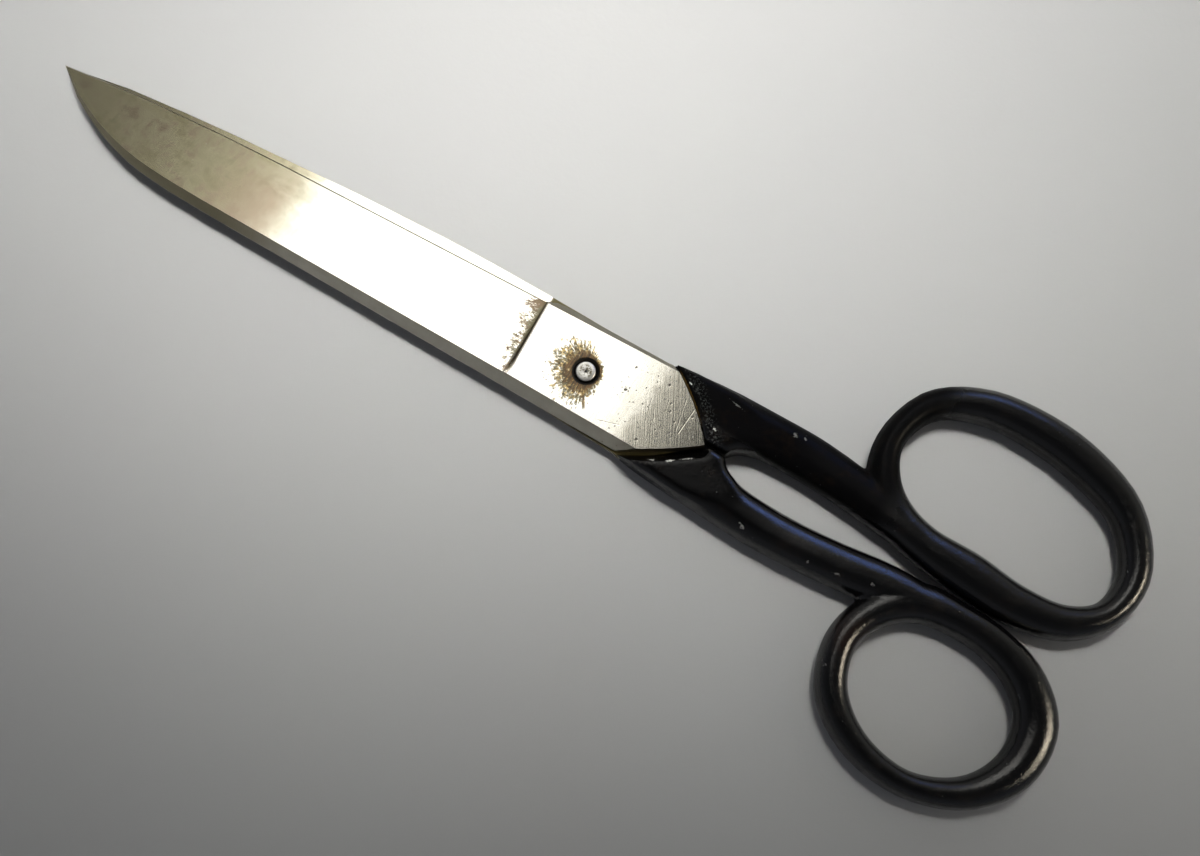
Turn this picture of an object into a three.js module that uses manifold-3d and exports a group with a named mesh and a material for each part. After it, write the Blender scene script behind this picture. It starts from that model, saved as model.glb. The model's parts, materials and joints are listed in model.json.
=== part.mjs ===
// Office scissors, closed: two steel blades crossed on one pivot screw, each in a black lacquered handle.
// Millimetres. Everything is modelled about the pivot: +X runs to the tip, +Y to the thumb bow, +Z up from
// the surface that the scissors lie on. Each half is drawn once in the upper half's attitude; the lower
// half's pieces are the same drawings turned over about the X axis.
import * as THREE from "three";
import { mergeVertices } from "three/addons/utils/BufferGeometryUtils.js";
import Module from "manifold-3d";

const wasm = await Module();
wasm.setup();

// ---- driving dimensions ----
const TIP_X = 107.8; // pivot to tip
const PIVOT_AT = [-5.8, 0.9]; // where the pivot stands, so that the origin is under the middle of the whole
const HANDLE_HEIGHT = 7.2; // full thickness of the bows and shanks
const PARTING_GAP = 0.2; // between the two inner faces
const LOWER_THICKNESS = 3.3; // lower blade at the joint
const UPPER_THICKNESS = 2.9; // upper blade at the joint
const SPINE_LAND = 0.45; // upright part of the spine, next to the inner face
const SPINE_SLOPE = 1.6; // how far the spine leans in, up to the face
const EDGE_LEFT = 0.5; // thickness left at a cutting edge
const STEP_X = 11.3; // where the joint's flat ends and the ground face starts
const STEP_RADIUS = 1.0;
const STEP_SKEW = 0.06; // the step runs a little askew of square
const HEEL_EDGE_Y = -7.5; // cutting edge at the step
const HEEL_RUN = [0.6, 2.5]; // how far behind the step the edge starts and ends its turn to the joint's side
const HEEL_TURN = 0.75; // how far out it has come where that turn starts
const GRIND_DROP = 0.05; // how far below the joint's flat the ground face starts, at its crest
const GRIND_CREST_Y = 7.35; // where that crest meets the step
const GRIND_EDGE_AT = new THREE.Vector2(58, -4.9); // on the cutting edge, where EDGE_LEFT is left
const JOINT_EDGE_Y = -8.6; // side of the joint below its chamfer
const CHAMFER_Y = -6.65; // upper edge of that chamfer
const CHAMFER_RUN = 2.35; // how far out it goes in the blade's thickness
const CHAMFER_SKEW = 0.052; // it closes in on the pivot towards the handle
const CUTTER_RISE = 0.16; // of the blade's thickness: how far above the flat the chamfer's cutter starts
const SEAM = 0.2; // between a blade and its own handle
const SHOULDER_GAP = 0.35; // between a handle's shoulder and the other half's blade
const SHOULDER_LEAN = 1.9; // how far a shoulder's face leans back from the parting to the outside
const WEDGE_LENGTH = 2.6; // the slope from the joint's flat up to the handle's full height
const HALF_SEAM = 0.15; // each half's distance from the line where the halves meet
const ROOT_FRONT_X = -4; // front end of the handles' roots
const ROOT_ROUNDING = 1.5; // of the roots' long edges
const SCREW_R = 1.75;
const SCREW_HOLE_R = 1.92;
const SCREW_PROUD = 0.05; // how far the riveted end stands above the joint's flat
const END_ROUNDING = 0.2; // of that end's rim
const PIP_R = 0.3; // centre mark in that end
const PIP_DEPTH = 0.2;
const SINK_R = 2.45; // countersink round the screw's end
const SINK_DEPTH = 0.6;
const HEAD_R = 3.7;
const HEAD_HEIGHT = 1.6;
const HEAD_LAND = 0.25; // upright rim of the head
const HEAD_GAP = 0.15;
const SLOT_WIDTH = 0.9;
const SLOT_DEPTH = 0.7;
const TANG_WIDTH = 4.2;
const TANG_HEIGHT = 1.2;
const TANG_GAP = 0.15;

const UPPER_INNER = LOWER_THICKNESS + PARTING_GAP; // height of the upper blade's inner face
const UPPER_TOP = UPPER_INNER + UPPER_THICKNESS;
const FAR = 60; // beyond everything, for cutters
const BEYOND = 14; // just beyond the blades' outline, for cutters

// The joint's flat ends at the back in a point, between the seam of its own handle and a free edge.
const CORNER = new THREE.Vector2(-23.1, 0.5);
const SEAM_START = new THREE.Vector2(-11.6, -9);
const SEAM_BULGE = 0.65;
const FREE_END = new THREE.Vector2(-10.4, 8.75);
const FREE_BULGE = 0.4;

// Outlines of the blades, from the joint to the tip: the back of the blade, and its cutting edge.
const WIDE_SPINE = [
  [-30, 8.3],
  [0, 8.6],
  [24, 9],
  [52, 9.5],
  [72, 9.75],
  [82, 9.6],
  [89, 8.8],
  [96, 6.8],
  [102.4, 3.8],
];
const NARROW_SPINE = [[-30, 8.7], [0, 8.9], [24, 8.6], [42, 7.7], [60, 6.3], [80, 4.4], [96, 2.4]];
const CUTTING_EDGE = [[STEP_X, HEEL_EDGE_Y], [44, -5.8], [71, -4.2], [88, -2.7], [98, -1.5], [TIP_X, 0]];

// Shanks and bows: centre line and half-width.
const FINGER_SHANK = [
  [-12, -5.2, 4.1],
  [-20, -6.1, 4.3],
  [-30, -6.75, 4.3],
  [-38, -7.1, 4.05],
  [-46, -6.7, 3.85],
  [-53, -5.9, 3.6],
  [-60, -4.75, 3.1],
];
const THUMB_SHANK = [
  [-12, -5.0, 4.0],
  [-20, -5.85, 4.1],
  [-30, -6.6, 4.0],
  [-38, -6.9, 3.8],
  [-46, -6.45, 3.7],
  [-53, -5.65, 3.75],
  [-60, -4.6, 3.7],
  [-67, -3.95, 3.0],
];
const FINGER_BOW = [
  [-48.8, -16.8, 2.4],
  [-51.6, -25.4, 2.6],
  [-59.2, -30.0, 3.05],
  [-69.0, -31.15, 3.4],
  [-79.1, -29.8, 3.45],
  [-87.9, -25.9, 3.05],
  [-93.3, -17.6, 2.65],
  [-92.3, -9.9, 2.4],
  [-87.0, -5.1, 3.0],
  [-79.0, -3.5, 3.5],
  [-70.0, -3.95, 3.85],
  [-61.8, -4.4, 3.35],
  [-55.4, -6.2, 3.4],
  [-51.0, -10.4, 2.9],
];
const THUMB_BOW = [
  [-58.0, -17.2, 2.7],
  [-60.6, -24.0, 2.75],
  [-67.3, -28.9, 2.45],
  [-77.0, -30.3, 2.25],
  [-86.0, -26.6, 2.7],
  [-91.0, -19.4, 3.4],
  [-90.7, -11.6, 3.65],
  [-86.0, -6.2, 3.35],
  [-79.0, -3.65, 3.0],
  [-72.0, -3.35, 2.95],
  [-66.0, -4.1, 3.4],
  [-61.4, -7.6, 3.1],
  [-58.5, -12.6, 2.8],
];

// Root of the handles beside the joint, from its front end out along the shank and back along the crotch.
const ROOT = [
  [ROOT_FRONT_X, -8.5],
  [-11, -9],
  [-16, -9.6],
  [-23, -10],
  [-28, -9.8],
  [-32, -8],
  [-33, -4],
  [-30.5, -2.6],
  [-28.4, -1.8],
  [-27.6, -1.1],
  [-27.3, -HALF_SEAM],
  [ROOT_FRONT_X, -HALF_SEAM],
];
const ROUNDNESS = 2.3; // exponent of the bows' and shanks' section; 2 is an ellipse
const SECTION_SIDES = 18;
const ROUND_SIDES = 40; // of the pivot screw and its holes
const BOW_STEPS = 60;
const SHANK_STEPS = 22;

// ---- solids from geometries ----
function solid(geometry) {
  const bare = new THREE.BufferGeometry();
  bare.setAttribute("position", geometry.getAttribute("position"));
  bare.setIndex(geometry.index);
  const merged = mergeVertices(bare, 1e-4);
  return new wasm.Manifold(
    new wasm.Mesh({
      numProp: 3,
      vertProperties: new Float32Array(merged.attributes.position.array),
      triVerts: new Uint32Array(merged.index.array),
    }),
  );
}

function geometryOf(made) {
  const mesh = made.getMesh();
  const geometry = new THREE.BufferGeometry();
  geometry.setAttribute("position", new THREE.BufferAttribute(mesh.vertProperties, 3));
  geometry.setIndex(new THREE.BufferAttribute(mesh.triVerts, 1));
  geometry.computeVertexNormals();
  return geometry;
}

function shapeThrough(points) {
  return new THREE.Shape(points.map(([x, y]) => new THREE.Vector2(x, y)));
}

// An upright prism between two heights.
function prism(shape, low, high, options = {}) {
  const geometry = new THREE.ExtrudeGeometry(shape, {
    depth: high - low,
    bevelEnabled: false,
    curveSegments: 4,
    ...options,
  });
  return geometry.translate(0, 0, low);
}

// Points of a smooth curve through the given ones.
function smooth(points, perSpan = 4) {
  const curve = new THREE.SplineCurve(points.map(([x, y]) => new THREE.Vector2(x, y)));
  return curve.getPoints((points.length - 1) * perSpan).map((p) => [p.x, p.y]);
}

// Points of a line between two ends that swells by bulge to its left.
function swollen(from, to, bulge) {
  const along = to.clone().sub(from).normalize();
  const left = new THREE.Vector2(-along.y, along.x);
  const middle = from.clone().lerp(to, 0.5).addScaledVector(left, 2 * bulge);
  return new THREE.QuadraticBezierCurve(from, middle, to).getPoints(6).map((p) => [p.x, p.y]);
}

// z changes by slopeX and slopeY for each millimetre in X and Y.
function tilt(slopeX, slopeY, lift) {
  return new THREE.Matrix4().set(1, 0, 0, 0, 0, 1, 0, 0, slopeX, slopeY, 1, lift, 0, 0, 0, 1);
}

// X and Y move by lean for each millimetre above or below level.
function leaning(leanX, leanY, level) {
  const shear = new THREE.Matrix4().set(1, 0, leanX, 0, 0, 1, leanY, 0, 0, 0, 1, 0, 0, 0, 0, 1);
  return shear.setPosition(-leanX * level, -leanY * level, 0);
}

// ---- the joint's plan ----
// Seam between the blade and its own handle, out to the corner, and the free edge from there to the spine.
const seamLine = swollen(SEAM_START, CORNER, SEAM_BULGE);
const freeLine = swollen(CORNER, FREE_END, FREE_BULGE);
const seamBack = CORNER.clone().sub(SEAM_START).normalize().rotateAround(new THREE.Vector2(), Math.PI / 2);
const freeBack = FREE_END.clone().sub(CORNER).normalize().rotateAround(new THREE.Vector2(), Math.PI / 2);

function shifted(points, direction, distance) {
  return points.map(([x, y]) => [x + direction.x * distance, y + direction.y * distance]);
}

function mirrored(points) {
  return points.map(([x, y]) => [x, -y]);
}

// ---- blade: inner face at z = 0, spine towards +Y ----
function blade(spine, thickness, tangLow) {
  // The leaning spine is the bevelled side of a large plate; the plate's other sides lie outside the blade.
  const back = [
    ...smooth(spine),
    [TIP_X, 0],
    [TIP_X + BEYOND, -BEYOND],
    [TIP_X + BEYOND, -FAR],
    [spine[0][0], -FAR],
  ];
  const plate = new THREE.ExtrudeGeometry(shapeThrough(back), {
    depth: SPINE_LAND + BEYOND,
    bevelEnabled: true,
    bevelSegments: 1,
    bevelThickness: thickness - SPINE_LAND,
    bevelSize: SPINE_SLOPE,
    bevelOffset: -SPINE_SLOPE,
  }).translate(0, 0, -BEYOND);

  // Plan of the blade inside that plate.
  const outline = [
    ...freeLine,
    [FREE_END.x + BEYOND / 2, BEYOND],
    [TIP_X + BEYOND, BEYOND],
    [TIP_X, 0],
    ...smooth(CUTTING_EDGE).reverse().slice(1),
    [STEP_X - HEEL_RUN[0], HEEL_EDGE_Y - HEEL_TURN],
    [STEP_X - HEEL_RUN[1], JOINT_EDGE_Y],
    [SEAM_START.x + HEEL_RUN[0], JOINT_EDGE_Y - SEAM],
    ...seamLine.slice(0, -1),
  ];
  let made = solid(plate).intersect(solid(prism(shapeThrough(outline), 0, thickness)));

  // Ground face: falls from the spine's crest to the cutting edge, and ends at the joint in a step.
  const crest = thickness - GRIND_DROP;
  const crossFall = (crest - EDGE_LEFT) / (GRIND_CREST_Y - HEEL_EDGE_Y);
  const leftAhead = crest - crossFall * (GRIND_CREST_Y - GRIND_EDGE_AT.y);
  const lengthFall = (EDGE_LEFT - GRIND_DROP - leftAhead) / (GRIND_EDGE_AT.x - STEP_X);
  const profile = new THREE.Shape();
  profile.moveTo(STEP_X, STEP_RADIUS);
  profile.absarc(STEP_X + STEP_RADIUS, STEP_RADIUS, STEP_RADIUS, Math.PI, 1.5 * Math.PI, false);
  profile.lineTo(TIP_X + BEYOND, 0);
  profile.lineTo(TIP_X + BEYOND, BEYOND);
  profile.lineTo(STEP_X, BEYOND);
  const face = prism(profile, -FAR, FAR)
    .rotateX(Math.PI / 2)
    .rotateZ(STEP_SKEW)
    .applyMatrix4(tilt(lengthFall, crossFall, crest - crossFall * GRIND_CREST_Y - lengthFall * STEP_X));
  made = made.subtract(solid(face));

  // Chamfer along the joint's other side. Its cutter starts a little above the flat.
  const above = CUTTER_RISE * thickness;
  const side = shapeThrough([
    [-CHAMFER_RUN * CUTTER_RISE, above],
    [-CHAMFER_RUN, -thickness],
    [-BEYOND, -thickness],
    [-BEYOND, above],
  ]);
  made = made.subtract(
    solid(
      prism(side, -FAR, FAR)
        .rotateX(Math.PI / 2)
        .rotateZ(Math.PI / 2 + CHAMFER_SKEW)
        .translate(0, CHAMFER_Y, thickness),
    ),
  );

  // Tang, buried in the handle.
  made = made.add(solid(tang(tangLow, 0)));

  const hole = new THREE.CylinderGeometry(SCREW_HOLE_R, SCREW_HOLE_R, 2 * BEYOND, ROUND_SIDES);
  return made.subtract(solid(hole.rotateX(Math.PI / 2)));
}

// The tang's bar, or the socket that it fills when it's grown by a gap. It starts inside the blade.
const TANG_START = new THREE.Vector2(-15.2, -3.2);
const TANG_END = new THREE.Vector2(-32, -6.7);
function tang(low, grow) {
  const along = TANG_END.clone().sub(TANG_START);
  const length = along.length() + grow;
  return new THREE.BoxGeometry(length, TANG_WIDTH + 2 * grow, TANG_HEIGHT + 2 * grow)
    .translate(length / 2, 0, low + TANG_HEIGHT / 2)
    .rotateZ(Math.atan2(along.y, along.x))
    .translate(TANG_START.x, TANG_START.y, 0);
}

// ---- handle: bow towards -Y, z from 0 to the full height ----
// Stations hold x, y and half-width, so one curve carries all three.
function stationCurve(stations, closed) {
  return new THREE.CatmullRomCurve3(
    stations.map(([x, y, w]) => new THREE.Vector3(x, y, w)),
    closed,
    "centripetal",
  );
}

// Bends a round geometry along a curve: place gives each vertex its place along it, its angle and its radius.
function bend(geometry, curve, place) {
  const position = geometry.getAttribute("position");
  for (let i = 0; i < position.count; i += 1) {
    const { t, angle, radius } = place(i);
    const at = curve.getPoint(t);
    const tangent = curve.getTangent(t);
    const across = new THREE.Vector2(-tangent.y, tangent.x).normalize();
    const c = Math.cos(angle);
    const s = Math.sin(angle);
    const wide = Math.sign(c) * Math.abs(c) ** (2 / ROUNDNESS) * radius * at.z;
    const high = Math.sign(s) * Math.abs(s) ** (2 / ROUNDNESS) * radius * (HANDLE_HEIGHT / 2);
    position.setXYZ(i, at.x + across.x * wide, at.y + across.y * wide, HANDLE_HEIGHT / 2 + high);
  }
  return geometry;
}

function bow(stations) {
  const geometry = new THREE.TorusGeometry(2, 1, SECTION_SIDES, BOW_STEPS);
  const uv = geometry.getAttribute("uv");
  return bend(geometry, stationCurve(stations, true), (i) => ({
    t: uv.getX(i) % 1,
    angle: -2 * Math.PI * (uv.getY(i) % 1),
    radius: 1,
  }));
}

function shank(stations) {
  const geometry = new THREE.CylinderGeometry(1, 1, 1, SECTION_SIDES, SHANK_STEPS);
  const source = geometry.getAttribute("position").clone();
  return bend(geometry, stationCurve(stations, false), (i) => ({
    t: 0.5 + source.getY(i),
    angle: Math.atan2(source.getX(i), source.getZ(i)),
    radius: Math.round(Math.hypot(source.getX(i), source.getZ(i))),
  }));
}

function handle(bowStations, shankStations, innerLevel, jointLevel, tangLow) {
  let made = solid(bow(bowStations)).add(solid(shank(shankStations)));

  // Root of the handle beside the joint, with rounded long edges.
  made = made.add(
    solid(
      prism(shapeThrough(ROOT), ROOT_ROUNDING, HANDLE_HEIGHT - ROOT_ROUNDING, {
        bevelEnabled: true,
        bevelSegments: 3,
        bevelThickness: ROOT_ROUNDING,
        bevelSize: ROOT_ROUNDING,
        bevelOffset: -ROOT_ROUNDING,
      }),
    ),
  );

  // In front of the seam the blade takes the handle's place; below the parting the other half's blade does.
  const ahead = [[CORNER.x - SEAM, FAR], [FAR, FAR], [FAR, -FAR], [ROOT_FRONT_X, -FAR]];
  const beyondSeam = shapeThrough([...shifted(seamLine, seamBack, SEAM), ...ahead]);
  made = made.subtract(solid(prism(beyondSeam, innerLevel, FAR)));
  const otherFree = mirrored(shifted(freeLine, freeBack, SHOULDER_GAP));
  const beyondShoulder = [...otherFree, ...[...ahead].reverse()];
  const lean = SHOULDER_LEAN / innerLevel;
  made = made.subtract(
    solid(
      prism(shapeThrough(beyondShoulder), -BEYOND, innerLevel).applyMatrix4(
        leaning(-freeBack.x * lean, freeBack.y * lean, innerLevel),
      ),
    ),
  );

  // Wedge: the slope from the level of the joint's flat up to the handle's full height.
  const rise = (HANDLE_HEIGHT - jointLevel) / WEDGE_LENGTH;
  if (rise > 0) {
    const above = new THREE.BoxGeometry(4 * FAR, 4 * FAR, FAR)
      .translate(0, 0, FAR / 2)
      .applyMatrix4(
        tilt(rise * seamBack.x, rise * seamBack.y, jointLevel - rise * seamBack.dot(CORNER)),
      );
    made = made.subtract(solid(above));
  }
  return made.subtract(solid(tang(tangLow, TANG_GAP)));
}

// ---- pivot screw: slotted countersunk head below, end riveted flush above ----
function pivotScrew() {
  const top = UPPER_TOP + SCREW_PROUD;
  const profile = [
    [0, 0],
    [HEAD_R, 0],
    [HEAD_R, HEAD_LAND],
    [SCREW_R, HEAD_HEIGHT],
    [SCREW_R, top - END_ROUNDING],
    [SCREW_R - END_ROUNDING, top],
    [PIP_R, top],
    [0, top - PIP_DEPTH],
  ].map(([r, z]) => new THREE.Vector2(r, z));
  const turned = new THREE.LatheGeometry(profile, ROUND_SIDES).rotateX(Math.PI / 2);
  const slot = new THREE.BoxGeometry(3 * HEAD_R, SLOT_WIDTH, 2 * SLOT_DEPTH).rotateZ(Math.PI / 5);
  return solid(turned).subtract(solid(slot));
}

// A cone-sided recess for a screw head or end: straight up to the land, then narrowing upwards.
function recess(mouth, throat, depth, land) {
  const profile = [[0, -BEYOND], [mouth, -BEYOND], [mouth, land], [throat, depth], [0, depth]];
  const corners = profile.map(([r, z]) => new THREE.Vector2(r, z));
  return new THREE.LatheGeometry(corners, ROUND_SIDES).rotateX(Math.PI / 2);
}

// ---- assembly ----
const STEEL = { color: 0xa39c8c, roughness: 0.32, metalness: 1 };
const LACQUER = { color: 0x08080a, roughness: 0.18, metalness: 0 };
const PIN_STEEL = { color: 0xc0bcb0, roughness: 0.35, metalness: 1 };

const scissors = new THREE.Group();
scissors.position.set(PIVOT_AT[0], PIVOT_AT[1], 0);

function piece(name, geometry, look) {
  const mesh = new THREE.Mesh(geometry, new THREE.MeshStandardMaterial(look));
  mesh.name = name;
  return mesh;
}

// Turns a drawing over about the X axis, so that the height given comes out at z = 0.
function turnedOver(geometry, height) {
  return geometry.rotateX(Math.PI).translate(0, 0, height);
}

const TANG_LOW = 0.75; // above the inner face
const upperSink = turnedOver(recess(SINK_R, SCREW_HOLE_R, SINK_DEPTH, 0), UPPER_THICKNESS);
const upperBlade = geometryOf(blade(WIDE_SPINE, UPPER_THICKNESS, TANG_LOW).subtract(solid(upperSink)));
const headSeat = recess(HEAD_R + HEAD_GAP, SCREW_HOLE_R, HEAD_HEIGHT + HEAD_GAP, HEAD_LAND + HEAD_GAP);
const lowerBlade = turnedOver(geometryOf(blade(NARROW_SPINE, LOWER_THICKNESS, TANG_LOW)), LOWER_THICKNESS);
const lowerCut = geometryOf(solid(lowerBlade).subtract(solid(headSeat)));
const lowerInner = HANDLE_HEIGHT - LOWER_THICKNESS;

const upperHalf = new THREE.Group();
upperHalf.add(
  piece("upper_blade", upperBlade.translate(0, 0, UPPER_INNER), STEEL),
  piece(
    "upper_handle",
    geometryOf(handle(FINGER_BOW, FINGER_SHANK, UPPER_INNER, UPPER_TOP, UPPER_INNER + TANG_LOW)),
    LACQUER,
  ),
  piece("pivot_screw", geometryOf(pivotScrew()), PIN_STEEL),
);
const lowerHalf = new THREE.Group();
lowerHalf.add(
  piece("lower_blade", lowerCut, STEEL),
  piece(
    "lower_handle",
    turnedOver(
      geometryOf(handle(THUMB_BOW, THUMB_SHANK, lowerInner, HANDLE_HEIGHT, lowerInner + TANG_LOW)),
      HANDLE_HEIGHT,
    ),
    LACQUER,
  ),
);
scissors.add(lowerHalf, upperHalf);

export default scissors;
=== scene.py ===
# Looks of the office scissors: two brushed steel blades on a riveted pivot screw, with handles in thick
# black japan lacquer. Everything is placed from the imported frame; lengths in this script are metres, and the
# surface patterns are drawn in millimetres from the pivot, +X towards the tip and +Y towards the thumb bow.
import json
import math

import bmesh
import bpy
from mathutils import Matrix, Vector, noise

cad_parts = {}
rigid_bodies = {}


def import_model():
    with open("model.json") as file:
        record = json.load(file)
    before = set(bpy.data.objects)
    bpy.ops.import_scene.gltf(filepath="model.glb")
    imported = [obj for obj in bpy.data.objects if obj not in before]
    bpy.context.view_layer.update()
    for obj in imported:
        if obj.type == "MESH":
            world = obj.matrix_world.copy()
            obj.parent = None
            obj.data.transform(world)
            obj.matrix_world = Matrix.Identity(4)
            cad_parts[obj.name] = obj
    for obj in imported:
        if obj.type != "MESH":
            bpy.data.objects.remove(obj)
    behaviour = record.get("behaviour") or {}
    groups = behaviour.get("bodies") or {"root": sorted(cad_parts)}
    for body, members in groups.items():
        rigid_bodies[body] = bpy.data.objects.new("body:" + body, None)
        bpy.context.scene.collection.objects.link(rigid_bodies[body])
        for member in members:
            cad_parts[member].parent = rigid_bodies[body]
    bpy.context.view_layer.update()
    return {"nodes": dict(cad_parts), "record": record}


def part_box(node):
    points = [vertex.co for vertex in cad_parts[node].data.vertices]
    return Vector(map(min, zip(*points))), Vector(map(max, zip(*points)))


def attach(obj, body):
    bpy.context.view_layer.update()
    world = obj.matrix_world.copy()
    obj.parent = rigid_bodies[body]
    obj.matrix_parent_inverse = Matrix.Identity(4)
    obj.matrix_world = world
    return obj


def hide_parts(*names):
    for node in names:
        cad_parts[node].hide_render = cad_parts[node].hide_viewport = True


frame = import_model()

MM = 0.001
JOINT = frame["record"]["behaviour"]["joints"][0]
PIVOT = Vector(JOINT["pos_m"])
UPPER_BODY = JOINT["child"]
LOWER_BODY = JOINT["parent"]
JOINT_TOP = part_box("upper_blade")[1].z / MM
HANDLE_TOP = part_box("upper_handle")[1].z / MM
PARTING = PIVOT.z / MM
SCREW_R = 1.75
SINK_R = 2.45  # the sink round the screw's end

# The step between the joint's flat and the ground face, and the arc of the seam between a blade and its
# handle, in millimetres as in the part.
STEP_X = 11.3
STEP_SKEW = 0.06
SEAM_START = Vector((-11.6, -9.0))
CORNER = Vector((-23.1, 0.5))
SEAM_BULGE = 0.65


# ---- camera ----
CAMERA_TILT = math.radians(13)
CAMERA_TURN = math.radians(-58.4)  # which way on the table the picture's upward direction points
CAMERA_DISTANCE = 0.2344
CAMERA_AIM = PIVOT + Vector((-6.7, 6.4, 0)) * MM
LENS = 42.34
SENSOR_WIDTH = 36


def make_camera():
    upward = Vector((math.cos(CAMERA_TURN), math.sin(CAMERA_TURN), 0))
    forward = upward * math.sin(CAMERA_TILT) - Vector((0, 0, math.cos(CAMERA_TILT)))
    right = forward.cross(upward).normalized()
    top = right.cross(forward)
    data = bpy.data.cameras.new("camera")
    data.lens = LENS
    data.sensor_width = SENSOR_WIDTH
    data.clip_start = 0.01
    data.clip_end = 10
    camera = bpy.data.objects.new("camera", data)
    bpy.context.collection.objects.link(camera)
    camera.matrix_world = Matrix.Translation(CAMERA_AIM - forward * CAMERA_DISTANCE) @ (
        Matrix((right, top, -forward)).transposed().to_4x4()
    )
    bpy.context.scene.camera = camera


# ---- node building ----
class Field:
    """A number at each point of a surface. Arithmetic on it adds nodes to its material."""

    def __init__(self, surface, socket):
        self.surface = surface
        self.socket = socket

    def math(self, operation, *others):
        return self.surface.math(operation, self, *others)

    def __add__(self, other):
        return self.math("ADD", other)

    def __radd__(self, other):
        return self.math("ADD", other)

    def __sub__(self, other):
        return self.math("SUBTRACT", other)

    def __rsub__(self, other):
        return self.surface.math("SUBTRACT", other, self)

    def __mul__(self, other):
        return self.math("MULTIPLY", other)

    def __rmul__(self, other):
        return self.math("MULTIPLY", other)

    def __truediv__(self, other):
        return self.math("DIVIDE", other)

    def __pow__(self, other):
        return self.math("POWER", other)

    def __abs__(self):
        return self.math("ABSOLUTE")

    def rise(self, low, high):
        """0 below low, 1 above high, smooth between."""
        node = self.surface.node("ShaderNodeMapRange", interpolation_type="SMOOTHSTEP")
        self.surface.join(node.inputs["Value"], self)
        node.inputs["From Min"].default_value = low
        node.inputs["From Max"].default_value = high
        return Field(self.surface, node.outputs["Result"])

    def fall(self, low, high):
        """1 below low, 0 above high, smooth between."""
        return 1 - self.rise(low, high)

    def below(self, other):
        return self.math("MINIMUM", other)

    def above(self, other):
        return self.math("MAXIMUM", other)


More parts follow.
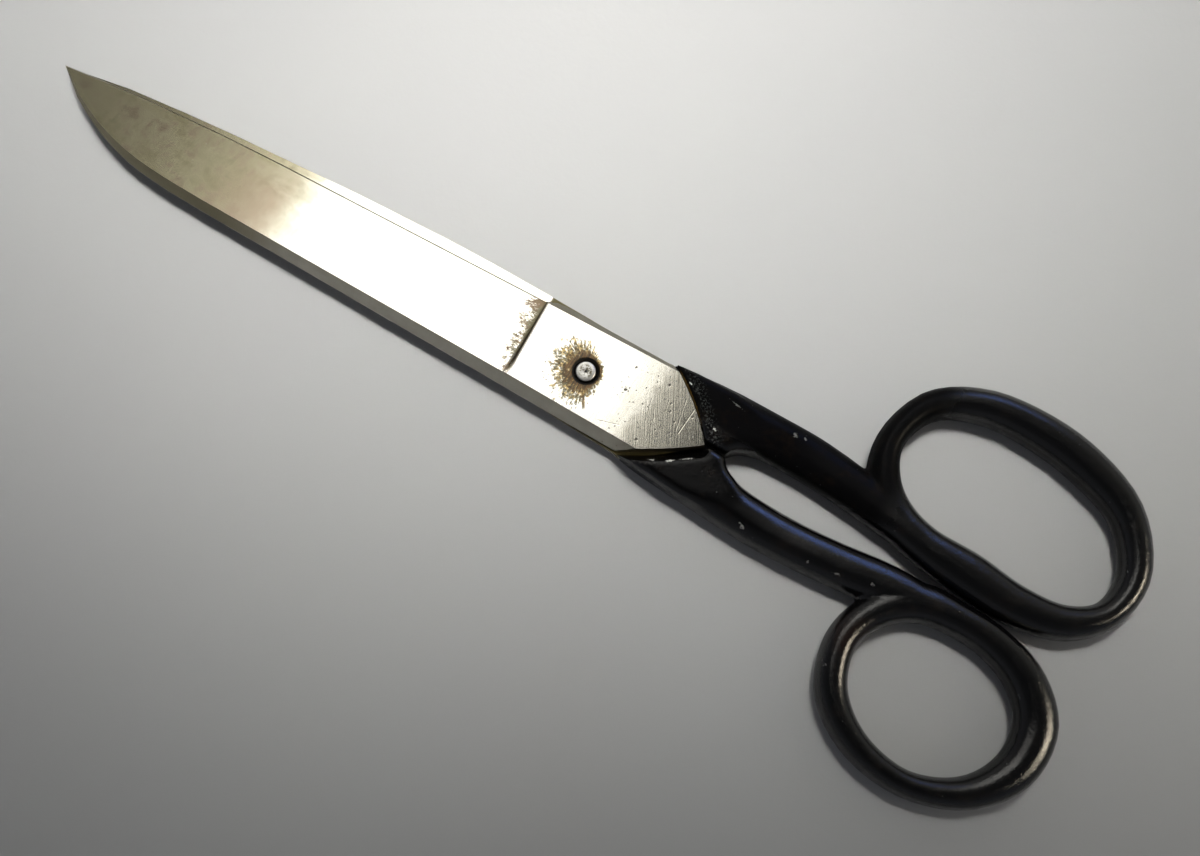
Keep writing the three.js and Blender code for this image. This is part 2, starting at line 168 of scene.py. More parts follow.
class Surface:
    """A material on one Principled shader, and short calls that add nodes to it."""

    def __init__(self, name):
        self.material = bpy.data.materials.new(name)
        self.material.use_nodes = True
        self.tree = self.material.node_tree
        self.shader = self.tree.nodes["Principled BSDF"]
        place = self.node("ShaderNodeTexCoord").outputs["Object"]
        shift = self.node("ShaderNodeVectorMath", operation="SUBTRACT")
        self.join(shift.inputs[0], place)
        shift.inputs[1].default_value = (PIVOT.x, PIVOT.y, 0)
        scale = self.node("ShaderNodeVectorMath", operation="SCALE")
        self.join(scale.inputs[0], shift.outputs[0])
        scale.inputs["Scale"].default_value = 1 / MM
        split = self.node("ShaderNodeSeparateXYZ")
        self.join(split.inputs[0], scale.outputs[0])
        self.x, self.y, self.z = [Field(self, socket) for socket in split.outputs]

    def node(self, kind, **settings):
        made = self.tree.nodes.new(kind)
        for key, value in settings.items():
            setattr(made, key, value)
        return made

    def join(self, target, value):
        if isinstance(value, Field):
            self.tree.links.new(value.socket, target)
        elif isinstance(value, bpy.types.NodeSocket):
            self.tree.links.new(value, target)
        else:
            target.default_value = value

    def math(self, operation, *values):
        node = self.node("ShaderNodeMath", operation=operation)
        for target, value in zip(node.inputs, values):
            self.join(target, value)
        return Field(self, node.outputs[0])

    def vector(self, x, y, z=0.0):
        node = self.node("ShaderNodeCombineXYZ")
        for target, value in zip(node.inputs, (x, y, z)):
            self.join(target, value)
        return node.outputs[0]

    def noise(self, x, y, z=0.0, detail=2.0, roughness=0.5, distortion=0.0):
        node = self.node("ShaderNodeTexNoise", noise_dimensions="3D")
        self.join(node.inputs["Vector"], self.vector(x, y, z))
        node.inputs["Scale"].default_value = 1
        node.inputs["Detail"].default_value = detail
        node.inputs["Roughness"].default_value = roughness
        node.inputs["Distortion"].default_value = distortion
        return Field(self, node.outputs["Fac"])

    def cells(self, x, y, z=0.0):
        """Distance to the nearest of some scattered points, and a random number for that point."""
        node = self.node("ShaderNodeTexVoronoi", feature="F1")
        self.join(node.inputs["Vector"], self.vector(x, y, z))
        node.inputs["Scale"].default_value = 1
        split = self.node("ShaderNodeSeparateColor")
        self.join(split.inputs[0], node.outputs["Color"])
        return Field(self, node.outputs["Distance"]), Field(self, split.outputs[0])

    def mix(self, share, first, second):
        """A colour between two: first where share is 0, second where it is 1."""
        node = self.node("ShaderNodeMix", data_type="RGBA", clamp_factor=True)
        self.join(node.inputs["Factor"], share)
        for target, value in zip((node.inputs[6], node.inputs[7]), (first, second)):
            self.join(target, value if isinstance(value, bpy.types.NodeSocket) else (*value, 1))
        return node.outputs[2]

    def turned(self, degrees):
        """x and y along and across a line at that angle on the table."""
        angle = math.radians(degrees)
        along = self.x * math.cos(angle) + self.y * math.sin(angle)
        across = self.y * math.cos(angle) - self.x * math.sin(angle)
        return along, across

    def scratch(self, start, end, width):
        """1 on a straight scratch between two points, 0 elsewhere."""
        run = Vector(end) - Vector(start)
        length = run.length
        run = run / length
        along = (self.x - start[0]) * run.x + (self.y - start[1]) * run.y
        across = abs((self.y - start[1]) * run.x - (self.x - start[0]) * run.y)
        ends = along.rise(0, length * 0.2) * along.fall(length * 0.7, length)
        return across.fall(width * 0.3, width) * ends

    def upright(self, steep=0.72, flat=0.93):
        """1 on sides that stand up, 0 on faces that lie flat."""
        split = self.node("ShaderNodeSeparateXYZ")
        self.join(split.inputs[0], self.node("ShaderNodeNewGeometry").outputs["True Normal"])
        return abs(Field(self, split.outputs["Z"])).fall(steep, flat)

    def bump(self, height, distance, below=None):
        """Relief of that many millimetres where height runs from 0 to 1."""
        node = self.node("ShaderNodeBump")
        node.inputs["Distance"].default_value = distance * MM
        node.inputs["Strength"].default_value = 1
        self.join(node.inputs["Height"], height)
        if below is not None:
            self.join(node.inputs["Normal"], below)
        return node.outputs[0]

    def finish(self, color, roughness, metallic=0.0, normal=None):
        self.join(self.shader.inputs["Base Color"], color)
        self.join(self.shader.inputs["Roughness"], roughness)
        self.join(self.shader.inputs["Metallic"], metallic)
        if normal is not None:
            self.join(self.shader.inputs["Normal"], normal)
        return self.material


def seam_circle():
    """Centre and radius of the arc that the seam follows."""
    chord = CORNER - SEAM_START
    middle = (CORNER + SEAM_START) / 2
    radius = chord.length_squared / (8 * SEAM_BULGE) + SEAM_BULGE / 2
    left = Vector((-chord.y, chord.x)).normalized()
    return middle + left * (SEAM_BULGE - radius), radius


def from_seam(surface):
    """Distance from the seam's arc, positive on the handle's side."""
    centre, radius = seam_circle()
    return ((surface.x - centre.x) ** 2 + (surface.y - centre.y) ** 2) ** 0.5 - radius


# ---- steel ----
STEEL = (0.64, 0.62, 0.56)
STEEL_WARM = (0.48, 0.45, 0.35)
STEEL_SIDE_DULL_AND_SHADED = (0.32, 0.30, 0.25)
STEEL_REAR_SHADED = (0.29, 0.275, 0.23)
TARNISH_AND_SHADE = (0.30, 0.27, 0.14)
PLUM = (0.34, 0.27, 0.20)
RUST_DARK = (0.032, 0.022, 0.01)
RUST = (0.15, 0.08, 0.022)
OCHRE = (0.6, 0.42, 0.13)
OLIVE = (0.12, 0.10, 0.035)
GRIME = (0.006, 0.005, 0.004)
AMBER = (0.30, 0.17, 0.035)

# Deeper scratches on the joint's flat: start, end and width.
SCRATCHES = (
    ((-18.4, 1.6), (-18.7, -4.2), 0.14),
    ((-17.9, 0.9), (-16.6, -4.9), 0.1),
    ((-12.9, 2.6), (-11.6, -2.2), 0.1),
    ((-20.6, 1.2), (-17.2, -2.6), 0.12),
    ((-16.0, 4.6), (-14.2, -3.4), 0.08),
    ((-14.6, 5.2), (-13.6, 0.4), 0.09),
    ((-9.6, 4.9), (-5.8, 6.1), 0.1),
)


# Fine straight scratches: the angle of each set, and a number that sets its pattern apart.
HAIR_LINES = ((-38, 3.1), (9, 7.7), (-84, 11.9), (28, 15.3))
JOINT_MARKS_ANGLE = -62
GRINDING_RELIEF = 0.0015
JOINT_RELIEF = 0.006
PIT_DEPTH = 0.03
SCRATCH_DEPTH = 0.012
LEAST_STEEL_ROUGHNESS = 0.12
MOST_STEEL_ROUGHNESS = 0.85


def steel(name, is_upper):
    s = Surface(name)
    x, y, z = s.x, s.y, s.z
    side = s.upright()

    # Grinding marks across the blade, finer scratches at the joint, and slow clouds of tarnish.
    coarse = s.noise(x * 3.4, y * 0.14, z * 0.3, detail=3, roughness=0.6)
    fine = s.noise(x * 9, y * 0.4, z, detail=2, roughness=0.5)
    along, across = s.turned(JOINT_MARKS_ANGLE)
    joint_marks = s.noise(along * 0.12, across * 5, z, detail=3, roughness=0.7)
    lengthwise = s.noise(x * 0.2, y * 5, z * 5, detail=3, roughness=0.6)
    behind = (x + s.noise(x * 0.35, y * 0.35, 3.3, detail=3) * 5).fall(-10, -6.5)
    marks = coarse * 0.5 + fine * 0.5
    marks = marks + (joint_marks - marks) * behind
    marks = marks + (lengthwise - marks) * side
    clouds = s.noise(x * 0.07, y * 0.12, z * 0.1, detail=5, roughness=0.65, distortion=0.3)
    blotches = s.noise(x * 0.45, y * 0.35, z * 0.4, detail=4, roughness=0.65)

    # Towards the tip the steel is painted darker and warmer: painted shade for the dim room that it reflects,
    # with tarnish.
    tipward = (x + (clouds - 0.5) * 12).rise(50, 68)
    dull_and_shaded = (tipward * 0.75 + (clouds - 0.46) * 0.7).above(0).below(1)
    color = s.mix(dull_and_shaded, STEEL, STEEL_WARM)
    color = s.mix(tipward * 0.62, color, TARNISH_AND_SHADE)
    color = s.mix((clouds * 0.6 + blotches * 0.4).rise(0.44, 0.62) * tipward * 0.38, color, OLIVE)
    color = s.mix((blotches * 0.7 + clouds * 0.3).fall(0.36, 0.5) * tipward * 0.6, color, PLUM)
    color = s.mix(x.rise(57, 62) * x.fall(63, 76) * y.rise(-7, 4) * (0.3 + clouds), color, PLUM)
    color = s.mix((marks - 0.5).above(0) * 0.9, color, STEEL_WARM)
    # Painted shade: the joint's flat is coloured darker towards its rear, where the steel reflects less light.
    rear_shade = (x + (blotches - 0.5) * 5 - y * 0.12).fall(-13, -9.5)
    color = s.mix(rear_shade * 0.75, color, STEEL_REAR_SHADED)
    # Upright sides are duller, and are also painted darker as painted shade.
    color = s.mix(side * (0.6 + blotches * 0.4), color, STEEL_SIDE_DULL_AND_SHADED)
    # Painted shade: the sides are coloured dark olive towards the tip.
    color = s.mix(side * tipward * 0.6, color, OLIVE)
    roughness = 0.11 + marks * 0.08 + dull_and_shaded * 0.1 + (blotches - 0.5) * 0.08 + side * 0.16
    relief = s.bump(marks * (1 - tipward * 0.85), GRINDING_RELIEF)
    relief = s.bump(joint_marks * behind * (1 - side), JOINT_RELIEF, relief)

    for angle, seed in HAIR_LINES:
        run, cross = s.turned(angle)
        line = s.noise(run * 0.035, cross * 3.5 + seed, seed, detail=1)
        broken = s.noise(run * 0.4, cross * 2, seed + 2).rise(0.5, 0.56)
        hair = abs(line - 0.5).fall(0.0, 0.01) * broken * (1 - side) * (1 - tipward)
        color = s.mix(hair * 0.35, color, STEEL_WARM)

    # Small dark pits, mostly on the rear of the joint, and a few nicks along the heel of the edge.
    distance, chance = s.cells(x * 0.5 + 1.3, y * 0.5, z * 0.2)
    pit = distance.fall(0.05, 0.16) * chance.rise(0.55, 0.6) * x.fall(-6, -3)
    distance, chance = s.cells(x * 1.7 + 5, y * 1.7, z * 0.2)
    pit = pit.above(distance.fall(0.08, 0.24) * chance.rise(0.74, 0.78) * x.fall(-9, -4))
    distance, chance = s.cells(x * 0.33, y * 0.33, z * 0.2)
    pit = pit.above(distance.fall(0.01, 0.05) * chance.rise(0.6, 0.64) * 0.7)
    color = s.mix(pit * 0.85, color, RUST_DARK)
    roughness = roughness + pit * 0.3
    relief = s.bump(1 - pit, PIT_DEPTH, relief)
    metallic = 1 - pit * 0.5

    if is_upper:
        top = z.rise(JOINT_TOP - 0.3, JOINT_TOP - 0.1)
        cut = pit * 0
        for start, end, width in SCRATCHES:
            cut = cut.above(s.scratch(start, end, width))
        relief = s.bump(1 - cut * top, SCRATCH_DEPTH, relief)

        # Rust round the screw, and at the step a stain and a dark line of dirt and painted shade.
        stain, deep = rust_round_pivot(s)
        grains = s.noise(x * 1.9, y * 1.9, 5.5, detail=3, roughness=0.7)
        color = s.mix(stain * top * 0.95, color, s.mix(grains.rise(0.4, 0.52), OCHRE, OLIVE))
        color = s.mix(deep * top, color, s.mix(fine.rise(0.4, 0.6), RUST, RUST_DARK))
        roughness = roughness + stain * top * 0.3
        metallic = metallic - stain.above(deep) * top * 0.75

        line, dots = stains_and_shade_at_step(s)
        color = s.mix(dots * 0.9, color, s.mix(blotches.rise(0.4, 0.6), OLIVE, RUST))
        # The dark line in the step's hollow is dirt with painted shade.
        color = s.mix(line, color, RUST_DARK)
        roughness = roughness + dots * 0.3 + line * 0.3
        metallic = metallic - dots.above(line) * 0.75

        # Painted reflection: the chamfer beside the joint is coloured dull olive, standing in for the grey
        # table that it reflects.
        chamfer_shade = side * y.fall(-6.5, -6.2) * x.fall(STEP_X - 0.2, STEP_X + 0.3)
        chamfer_shade = chamfer_shade * z.rise(PARTING, PARTING + 0.3)
        color = s.mix(chamfer_shade * 0.75, color, OLIVE)

        # Black grime fills the sink round the screw's end.
        sink = (x ** 2 + y ** 2) ** 0.5
        sink = (sink + (blotches - 0.5) * 0.3).fall(SINK_R - 0.17, SINK_R - 0.03)
        color = s.mix(sink, color, GRIME)
        roughness = roughness + sink * 0.4
        metallic = metallic - sink
    else:
        # Painted shade where the upper blade's joint lies over the lower blade.
        shade_under_joint = x.fall(11.7, 12.2) * x.rise(-20, -19) * z.rise(PARTING - 1.1, PARTING - 0.8)
        color = s.mix(shade_under_joint * (0.7 + blotches * 0.4), color, OLIVE)
        roughness = roughness + shade_under_joint * 0.3

    roughness = roughness.above(LEAST_STEEL_ROUGHNESS).below(MOST_STEEL_ROUGHNESS)
    return s.finish(color, roughness, metallic.above(0), relief)


RUST_HEADING = 0.5  # radians from +X: the direction in which the rust reaches furthest
RUST_TAIL = ((-1.2, 2.9), (-3.2, 5.9), 0.32)  # start, end and width of a run of rust


def rust_round_pivot(s):
    """Stain and rust round the screw: furthest towards the tip, and ending in bristles."""
    radius = (s.x ** 2 + s.y ** 2) ** 0.5
    toward = (s.x * math.cos(RUST_HEADING) + s.y * math.sin(RUST_HEADING)) / radius
    sideways = (s.y * math.cos(RUST_HEADING) - s.x * math.sin(RUST_HEADING)) / radius
    angle = sideways.math("ARCTAN2", toward)
    streaks = s.noise(angle * 14, radius * 0.9, 4.2, detail=4, roughness=0.75)
    patches = s.noise(s.x * 1.4, s.y * 1.4, 9.1, detail=5, roughness=0.8)
    reach = 0.5 + toward.rise(-0.85, 0.45) * 2.6
    spread = (radius - SINK_R) / reach
    stain = (streaks * 0.5 + patches * 0.5 - 0.32 - spread * 0.17).rise(-0.02, 0.06)
    deep = (streaks * 0.4 + patches * 0.6 - 0.385 - spread * 0.2).rise(-0.03, 0.07)
    tail = s.scratch(*RUST_TAIL)
    return stain.above(tail * 0.8), deep.above(tail * streaks.rise(0.4, 0.6))


def stains_and_shade_at_step(s):
    """The dark line in the step's hollow, of dirt and painted shade, and the brown dotted stain on its tip
    side.
    """
    ahead = s.x + s.y * STEP_SKEW - STEP_X
    wander = s.noise(s.x * 0.8, s.y * 0.8, 2.2, detail=4, roughness=0.7)
    line = abs(ahead - 0.2).fall(0.15, 0.6) * s.y.fall(4.5, 7.2)
    grain = s.noise(s.x * 1.8, s.y * 3.4, 6.6, detail=5, roughness=0.8)
    fade = ahead / 6.5 + (s.y + 7.5).above(0) / 40
    dots = (grain * 0.6 + wander * 0.4 - 0.3 - fade * 0.36).rise(-0.02, 0.08) * ahead.rise(-0.1, 0.25)
    return line, dots * s.y.fall(6.5, 7.5)


SCREW_BRIGHT = (0.66, 0.65, 0.62)
SCREW_DULL = (0.34, 0.32, 0.28)
SCREW_MARKS_ANGLE = 25
SCREW_RELIEF = 0.03


def screw_steel():
    s = Surface("screw_steel")
    x, y, z = s.x, s.y, s.z
    radius = (x ** 2 + y ** 2) ** 0.5
    along, across = s.turned(SCREW_MARKS_ANGLE)
    marks = s.noise(along * 0.8, across * 6, z * 0.4, detail=4, roughness=0.7)
    dents = s.noise(x * 1.7, y * 1.7, z, detail=3, roughness=0.6)
    color = s.mix((marks - 0.45).above(0) * 1.6, SCREW_BRIGHT, SCREW_DULL)
    worn = dents.rise(0.48, 0.56) * radius.fall(0.8, 1.5)
    color = s.mix(worn * 0.85, color, OLIVE)
    rim = radius.rise(SCREW_R - 0.2, SCREW_R - 0.05).above(radius.fall(0.12, 0.3))
    rim = rim * z.rise(JOINT_TOP - 1.2, JOINT_TOP - 0.6)
    color = s.mix(rim, color, GRIME)
    side = z.fall(JOINT_TOP - 0.35, JOINT_TOP - 0.05) * z.rise(2.2, 3.0)
    color = s.mix(side, color, GRIME)
    roughness = 0.26 + marks * 0.2 + worn * 0.15 + rim * 0.3
    relief = s.bump(marks * 0.5 + dents * 0.5, SCREW_RELIEF)
    return s.finish(color, roughness.below(MOST_STEEL_ROUGHNESS), 1 - rim.above(side) * 0.9, relief)


# ---- lacquer ----
LACQUER = (0.0022, 0.0022, 0.0024)
LACQUER_BROWN = (0.008, 0.005, 0.003)
DUST = (0.10, 0.105, 0.10)
BARE = (0.2, 0.2, 0.19)
BRIGHT = (0.7, 0.7, 0.66)
RUSTY_BROWN = (0.022, 0.01, 0.005)
LACQUER_IOR = 1.42
COAT_ROUGHNESS = 0.06
MOST_LACQUER_ROUGHNESS = 0.7

# Chips in the lacquer, and painted highlights at the handles' roots, glints painted in a bright colour: x, y,
# length, width, and the angle that each lies at.
CHIPS = (
    (-52.0, 7.6, 1.3, 0.5, 20),
    (-35.0, 8.9, 1.0, 0.5, -10),
    (-35.0, -8.6, 0.8, 0.7, 80),
    (-36.7, -8.9, 0.5, 0.5, 0),
    (-24.0, -8.0, 2.6, 0.3, -8),
    (-57.5, 6.2, 0.7, 0.5, 40),
    (-47.0, 8.4, 0.5, 0.4, 0),
)
PAINTED_GLINTS = (
    (-17.0, 7.1, 1.1, 0.4, 30),
    (-19.6, 5.8, 1.5, 0.45, 40),
    (-21.8, 4.0, 2.4, 0.3, 38),
    (-23.2, -2.5, 0.7, 0.3, -15),
    (-15.9, -7.2, 0.7, 0.2, -25),
)


def spots(s, places, ragged):
    """1 in small ragged places, each given by x, y, length, width and the angle that it lies at."""
    total = ragged * 0
    for at_x, at_y, length, width, angle in places:
        turn = math.radians(angle)
        run = (s.x - at_x) * (math.cos(turn) / length) + (s.y - at_y) * (math.sin(turn) / length)
        side = (s.y - at_y) * (math.cos(turn) / width) - (s.x - at_x) * (math.sin(turn) / width)
        spot = (run ** 2 + side ** 2) ** 0.5 + (ragged - 0.5) * 2.4
        total = total.above(spot.fall(0.15, 0.5))
    return total


def lacquer(name, is_upper):
    s = Surface(name)
    x, y, z = s.x, s.y, s.z
    pool = s.noise(x * 0.16, y * 0.16, z * 0.16, detail=2)
    peel = s.noise(x * 0.9, y * 0.9, z * 0.9, detail=2)
    dust = s.noise(x * 3.2, y * 3.2, z * 3.2, detail=3, roughness=0.7)
    ragged = s.noise(x * 2.4, y * 2.4, z * 2.4, detail=3, roughness=0.7)
    handled = s.noise(x * 0.35, y * 0.35, z * 0.5, detail=4, roughness=0.65)
    pointed = s.node("ShaderNodeNewGeometry").outputs["Pointiness"]
    edge = Field(s, pointed).rise(0.508, 0.56)

    color = s.mix(handled.rise(0.5, 0.75) * 0.6, LACQUER, LACQUER_BROWN)
    roughness = 0.1 + handled.rise(0.42, 0.7) * 0.12 + dust.rise(0.55, 0.8) * 0.06
    relief = s.bump(pool, 0.06)
    relief = s.bump(peel, 0.012, relief)
    relief = s.bump(ragged, 0.06, relief)

    # Specks of dust set in the lacquer.
    distance, chance = s.cells(x * 0.8, y * 0.8, z * 0.8)
    speck = distance.fall(0.03, 0.09) * chance.rise(0.75, 0.8)
    color = s.mix(speck * 0.5, color, DUST)
    relief = s.bump(speck, 0.02, relief)

    # Chips and rubbed places that show the primer, and the glints painted as highlights.
    topside = z.rise(HANDLE_TOP * 0.5, HANDLE_TOP * 0.6)
    chip = spots(s, CHIPS, ragged) * topside
    painted_glint = spots(s, PAINTED_GLINTS, ragged) * topside
    rubbed = (edge * ragged.rise(0.52, 0.64) * handled.rise(0.45, 0.6)) * 0.5
    color = s.mix(chip.above(rubbed) * 0.8, color, BARE)
    # Painted highlights: the glints are bright colour standing in for sparkles of light on the crests.
    color = s.mix(painted_glint, color, BRIGHT)
    roughness = roughness + chip.above(rubbed) * 0.45
    relief = s.bump(1 - chip, 0.05, relief)

    if is_upper:
        worn = x.rise(-58, -52) * x.fall(-12, -9) * y.fall(-3.5, -2.5)
        roughness = roughness + worn * 0.3

        # Amber lacquer in the seam, and dust smeared on the slope behind it.
        away = from_seam(s)
        seam = (away + (ragged - 0.5) * 0.4).fall(0.2, 0.42) * y.rise(-8.6, -7.6) * y.fall(-4.6, -1.5)
        seam = seam * z.rise(3.6, 4.2)
        color = s.mix(seam * (0.4 + ragged), color, AMBER)
        smear = away.rise(0.6, 1.2) * away.fall(1.4, 3.4) * ragged.rise(0.5, 0.62)
        smear = smear * z.rise(6.2, 6.6)
        color = s.mix(smear * 0.4, color, DUST)
        roughness = roughness + smear * 0.3 + seam * 0.15
    else:
        rusty = (((x + 59) / 5) ** 2 + ((y - 15) / 5) ** 2) ** 0.5 + (handled - 0.5) * 1.5
        color = s.mix(rusty.fall(0.3, 1.0) * 0.5, color, RUSTY_BROWN)

    # Gloss is duller on the sides, on the level top near the root, and where fingers have worn it.
    level = 1 - s.upright(0.94, 0.99)
    gloss = (1 - s.upright(0.15, 0.45) * 0.85) * (1 - level * x.rise(-44, -34) * 0.75)
    if is_upper:
        gloss = gloss * (1 - worn * 0.9)
    s.join(s.shader.inputs["Specular IOR Level"], gloss * 0.5)
    s.join(s.shader.inputs["Coat Weight"], gloss * 0.3)
    s.shader.inputs["IOR"].default_value = LACQUER_IOR
    s.shader.inputs["Coat IOR"].default_value = LACQUER_IOR
    s.join(s.shader.inputs["Coat Normal"], relief)
    s.shader.inputs["Coat Roughness"].default_value = COAT_ROUGHNESS
    return s.finish(color, roughness.below(MOST_LACQUER_ROUGHNESS), 0.0, relief)


# ---- pieces ----
def copy_of(node, name):
    """A new piece with the shape of a CAD node."""
    piece = bpy.data.objects.new(name, frame["nodes"][node].data.copy())
    piece.data.name = name
    piece.data.materials.clear()
    bpy.context.collection.objects.link(piece)
    return piece


def settled(piece, name):
    """Works the piece's modifiers into its mesh."""
    ready = bpy.data.meshes.new_from_object(piece.evaluated_get(bpy.context.evaluated_depsgraph_get()))
    ready.name = name
    piece.modifiers.clear()
    piece.data = ready


def stand_for(piece, node, body, material):
    piece.data.materials.clear()
    piece.data.materials.append(material)
    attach(piece, body)
    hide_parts(node)


EDGE_BREAK = 0.07 * MM
CREASE = math.radians(18)
FLAT_WITHIN = math.radians(0.8)
WELD = 0.002 * MM
CUTTING_BEVEL = 0.3 * MM
LEAST_EDGE_HEIGHT = 0.25 * MM
FACE_AREA_WEIGHT = 100


def on_cutting_edge(edge):
    """True for an edge between a blade's ground face and the upright wall at its cutting edge."""
    if len(edge.link_faces) != 2 or min(v.co.x for v in edge.verts) < PIVOT.x + STEP_X * MM:
        return False
    flat, wall = sorted((face.normal for face in edge.link_faces), key=lambda n: -abs(n.z))
    upper = flat.z > 0
    outward = -1 if upper else 1
    ends = [abs(v.co.z - PIVOT.z) for v in edge.verts]
    faces_out = abs(flat.z) > 0.9 and abs(wall.z) < 0.1 and wall.y * outward > 0.5
    return faces_out and min(ends) > LEAST_EDGE_HEIGHT


def ground_steel(node, name):
    """A steel part with its flats whole and its sharp edges broken by a small bevel."""
    piece = copy_of(node, name)
    shape = bmesh.new()
    shape.from_mesh(piece.data)
    bmesh.ops.remove_doubles(shape, verts=shape.verts, dist=WELD)
    bmesh.ops.dissolve_limit(shape, angle_limit=FLAT_WITHIN, verts=shape.verts, edges=shape.edges)
    cutting = [e for e in shape.edges if on_cutting_edge(e)]
    bmesh.ops.bevel(
        shape,
        geom=cutting,
        offset=CUTTING_BEVEL,
        offset_type="OFFSET",
        segments=1,
        profile=0.5,
        affect="EDGES",
        clamp_overlap=False,
    )
    sharp = [e for e in shape.edges if len(e.link_faces) == 2 and e.calc_face_angle() > CREASE]
    bmesh.ops.bevel(
        shape,
        geom=sharp,
        offset=EDGE_BREAK,
        offset_type="OFFSET",
        segments=2,
        profile=0.5,
        affect="EDGES",
        clamp_overlap=True,
    )
    bmesh.ops.triangulate(shape, faces=[f for f in shape.faces if len(f.verts) > 4])
    shape.to_mesh(piece.data)
    shape.free()
    piece.data.shade_smooth()
    weights = piece.modifiers.new("flats", "WEIGHTED_NORMAL")
    weights.weight = FACE_AREA_WEIGHT
    settled(piece, name)
    return piece


VOXEL = 0.32 * MM
SMOOTHING = 0.5
EDGE_PASSES = 6
WEB_PASSES = 60
CROTCH_X = -31.5 * MM
CROTCH_REACH = 7 * MM
POOLING = 0.03 * MM
POOL_SIZE = 5 * MM


def soften(piece, name, passes, group=""):
    smooth = piece.modifiers.new(name, "SMOOTH")
    smooth.factor = SMOOTHING
    smooth.iterations = passes
    smooth.vertex_group = group


def dipped(node, name):
    """A handle with the soft edges and slight waves of thick lacquer, all drawn inward from the CAD skin."""
    piece = copy_of(node, name)
    remesh = piece.modifiers.new("skin", "REMESH")
    remesh.mode = "VOXEL"
    remesh.voxel_size = VOXEL
    soften(piece, "soften", EDGE_PASSES)
    settled(piece, name)

    # Lacquer fills the web where the shank leaves the root.
    web = piece.vertex_groups.new(name="web")
    for vertex in piece.data.vertices:
        along = abs(vertex.co.x - PIVOT.x - CROTCH_X) / CROTCH_REACH
        web.add([vertex.index], min(1, max(0, 1.6 - 1.6 * along)), "REPLACE")
    soften(piece, "soften_web", WEB_PASSES, "web")
    settled(piece, name)

    mesh = piece.data
    places = []
    for vertex in mesh.vertices:
        depth = (noise.noise(vertex.co / POOL_SIZE) - 1) * POOLING
        places.append(vertex.co + vertex.normal * depth)
    for vertex, place in zip(mesh.vertices, places):
        vertex.co = place
    mesh.shade_smooth()
    return piece


# ---- stage ----
FLOOR_REACH = 3
FLOOR_DROP = 0.02 * MM
PAPER = ((0.53, 0.53, 0.535), (0.56, 0.56, 0.555))


def make_floor():
    mesh = bpy.data.meshes.new("floor")
    corners = [(x * FLOOR_REACH, y * FLOOR_REACH, 0) for x, y in ((-1, -1), (1, -1), (1, 1), (-1, 1))]
    mesh.from_pydata(corners, [], [(0, 1, 2, 3)])
    floor = bpy.data.objects.new("floor", mesh)
    bpy.context.collection.objects.link(floor)
    floor.location.z = -FLOOR_DROP
    s = Surface("paper")
    fibres = s.noise(s.x * 0.8, s.y * 0.8, detail=4, roughness=0.6)
    clouds = s.noise(s.x * 0.02, s.y * 0.02, detail=3)
    color = s.mix(clouds, *PAPER)
    mesh.materials.append(s.finish(color, 0.75, 0.0, s.bump(fibres, 0.03)))


def area_light(name, centre, target, size, power, color, spread, on_floor=True, in_gloss=True):
    data = bpy.data.lights.new(name, "AREA")
    data.shape = "RECTANGLE"
    data.size, data.size_y = size
    data.energy = power
    data.color = color
    data.spread = math.radians(spread)
    light = bpy.data.objects.new(name, data)
    bpy.context.collection.objects.link(light)
    back = (Vector(centre) - Vector(target)).normalized()
    side = Vector((1, 0, 0))
    side = (side - back * side.dot(back)).normalized()
    turn = Matrix((side, back.cross(side), back)).transposed().to_4x4()
    light.matrix_world = Matrix.Translation(centre) @ turn
    light.visible_camera = False
    light.visible_diffuse = on_floor
    light.visible_glossy = in_gloss
    return light


CEILING = (0.046, 0.047, 0.050)
HORIZON = (0.24, 0.25, 0.275)
WINDOW_SIDE = (0.22, 0.21, 0.17)


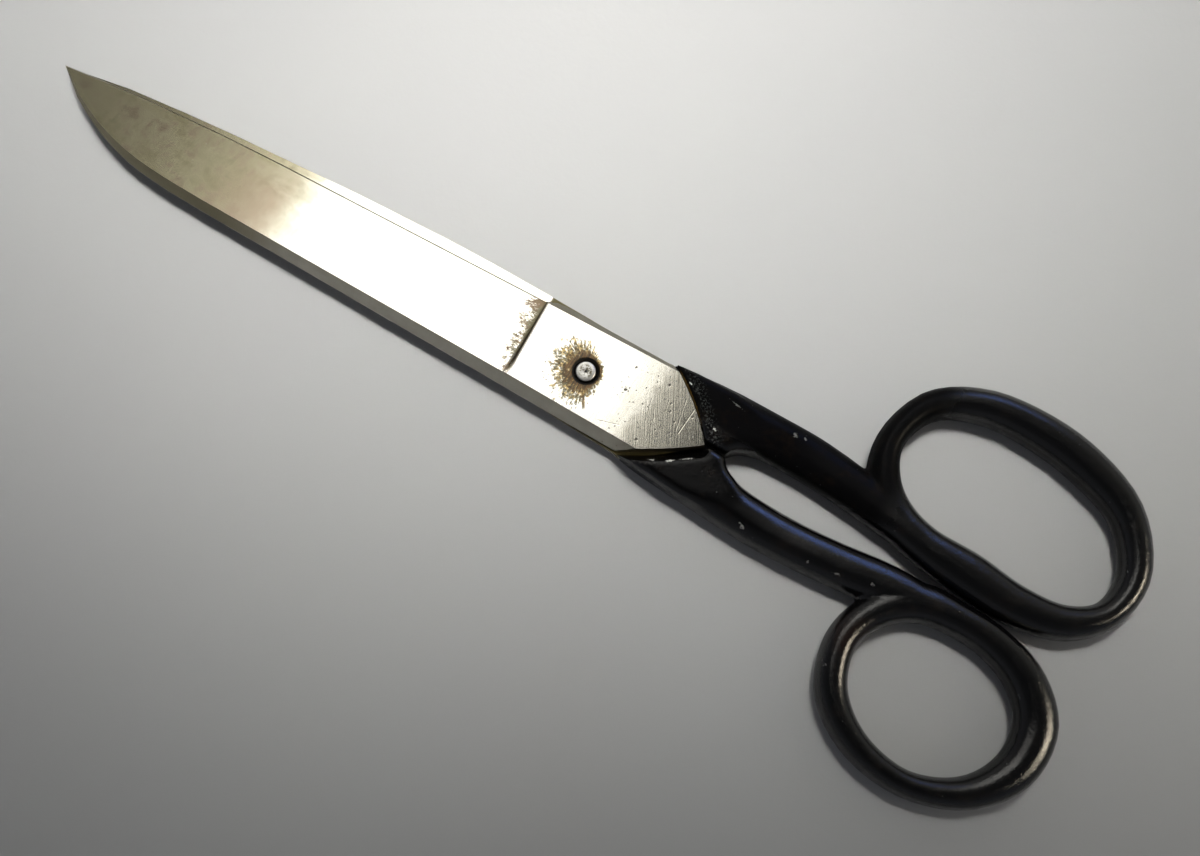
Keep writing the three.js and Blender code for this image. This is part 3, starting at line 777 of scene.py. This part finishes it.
def make_world():
    """A dim room: dark overhead, paler towards the horizon and on the window's side."""
    world = bpy.data.worlds.new("studio")
    bpy.context.scene.world = world
    world.use_nodes = True
    tree = world.node_tree
    background = tree.nodes["Background"]
    split = tree.nodes.new("ShaderNodeSeparateXYZ")
    tree.links.new(tree.nodes.new("ShaderNodeTexCoord").outputs["Generated"], split.inputs[0])
    shares = []
    for axis, dark_at, pale_at in (("Z", 1.0, 0.0), ("Y", -0.15, -0.7)):
        ramp = tree.nodes.new("ShaderNodeMapRange")
        ramp.inputs["From Min"].default_value = dark_at
        ramp.inputs["From Max"].default_value = pale_at
        tree.links.new(split.outputs[axis], ramp.inputs["Value"])
        shares.append(ramp.outputs[0])
    color = None
    for share, dark, pale in (
        (shares[0], CEILING, HORIZON),
        (shares[1], (0, 0, 0), WINDOW_SIDE),
    ):
        blend = tree.nodes.new("ShaderNodeMix")
        blend.data_type = "RGBA"
        tree.links.new(share, blend.inputs["Factor"])
        blend.inputs[6].default_value = (*dark, 1)
        blend.inputs[7].default_value = (*pale, 1)
        if color is None:
            color = blend.outputs[2]
            continue
        total = tree.nodes.new("ShaderNodeMix")
        total.data_type = "RGBA"
        total.blend_type = "ADD"
        total.inputs["Factor"].default_value = 1
        tree.links.new(color, total.inputs[6])
        tree.links.new(blend.outputs[2], total.inputs[7])
        color = total.outputs[2]
    tree.links.new(color, background.inputs["Color"])
    background.inputs["Strength"].default_value = 1


LAMP_AT = (0.07, -0.21, 0.5)
LAMP_POWER = 0.128
LAMP_SPREAD = 20
LAMP_SIZE = (0.24, 0.24)
LAMP_COLOR = (1, 0.99, 0.95)
LAMP_AIMS = ((0.091, -0.058, 0), (-0.007, -0.116, 0))

# Panels that only gloss shows, the window in the steel and the others on the lacquer: name, centre, target,
# size, power, colour and spread.
PANELS = (
    ("window", (0.307, -0.435, 1.0), (0.02, -0.03, 0), (0.415, 0.63), 2.6, (1, 0.985, 0.93), 180),
    ("sky", (-0.044, -0.10, 0.08), (-0.042, 0.005, 0.004), (0.07, 0.045), 0.0017, (0.22, 0.38, 1), 27),
    ("room_lamp", (-0.71, -0.20, 0.50), (-0.07, 0, 0), (0.12, 0.3), 4, (1, 0.88, 0.68), 180),
)


def make_light():
    make_world()
    # Two beams of one soft lamp light the table and all that isn't gloss, and fall off across the picture.
    for place, aim in enumerate(LAMP_AIMS):
        name = "lamp_%d" % place
        area_light(name, LAMP_AT, aim, LAMP_SIZE, LAMP_POWER, LAMP_COLOR, LAMP_SPREAD, in_gloss=False)
    for panel in PANELS:
        area_light(*panel, on_floor=False)


bpy.context.scene.view_settings.view_transform = "Standard"
make_camera()
make_floor()
make_light()

upper_blade = ground_steel("upper_blade", "upper_blade_ground")
stand_for(upper_blade, "upper_blade", UPPER_BODY, steel("upper_blade_steel", True))
lower_blade = ground_steel("lower_blade", "lower_blade_ground")
stand_for(lower_blade, "lower_blade", LOWER_BODY, steel("lower_blade_steel", False))
screw = ground_steel("pivot_screw", "pivot_screw_turned")
stand_for(screw, "pivot_screw", UPPER_BODY, screw_steel())
upper_handle = dipped("upper_handle", "upper_handle_lacquered")
stand_for(upper_handle, "upper_handle", UPPER_BODY, lacquer("upper_lacquer", True))
lower_handle = dipped("lower_handle", "lower_handle_lacquered")
stand_for(lower_handle, "lower_handle", LOWER_BODY, lacquer("lower_lacquer", False))
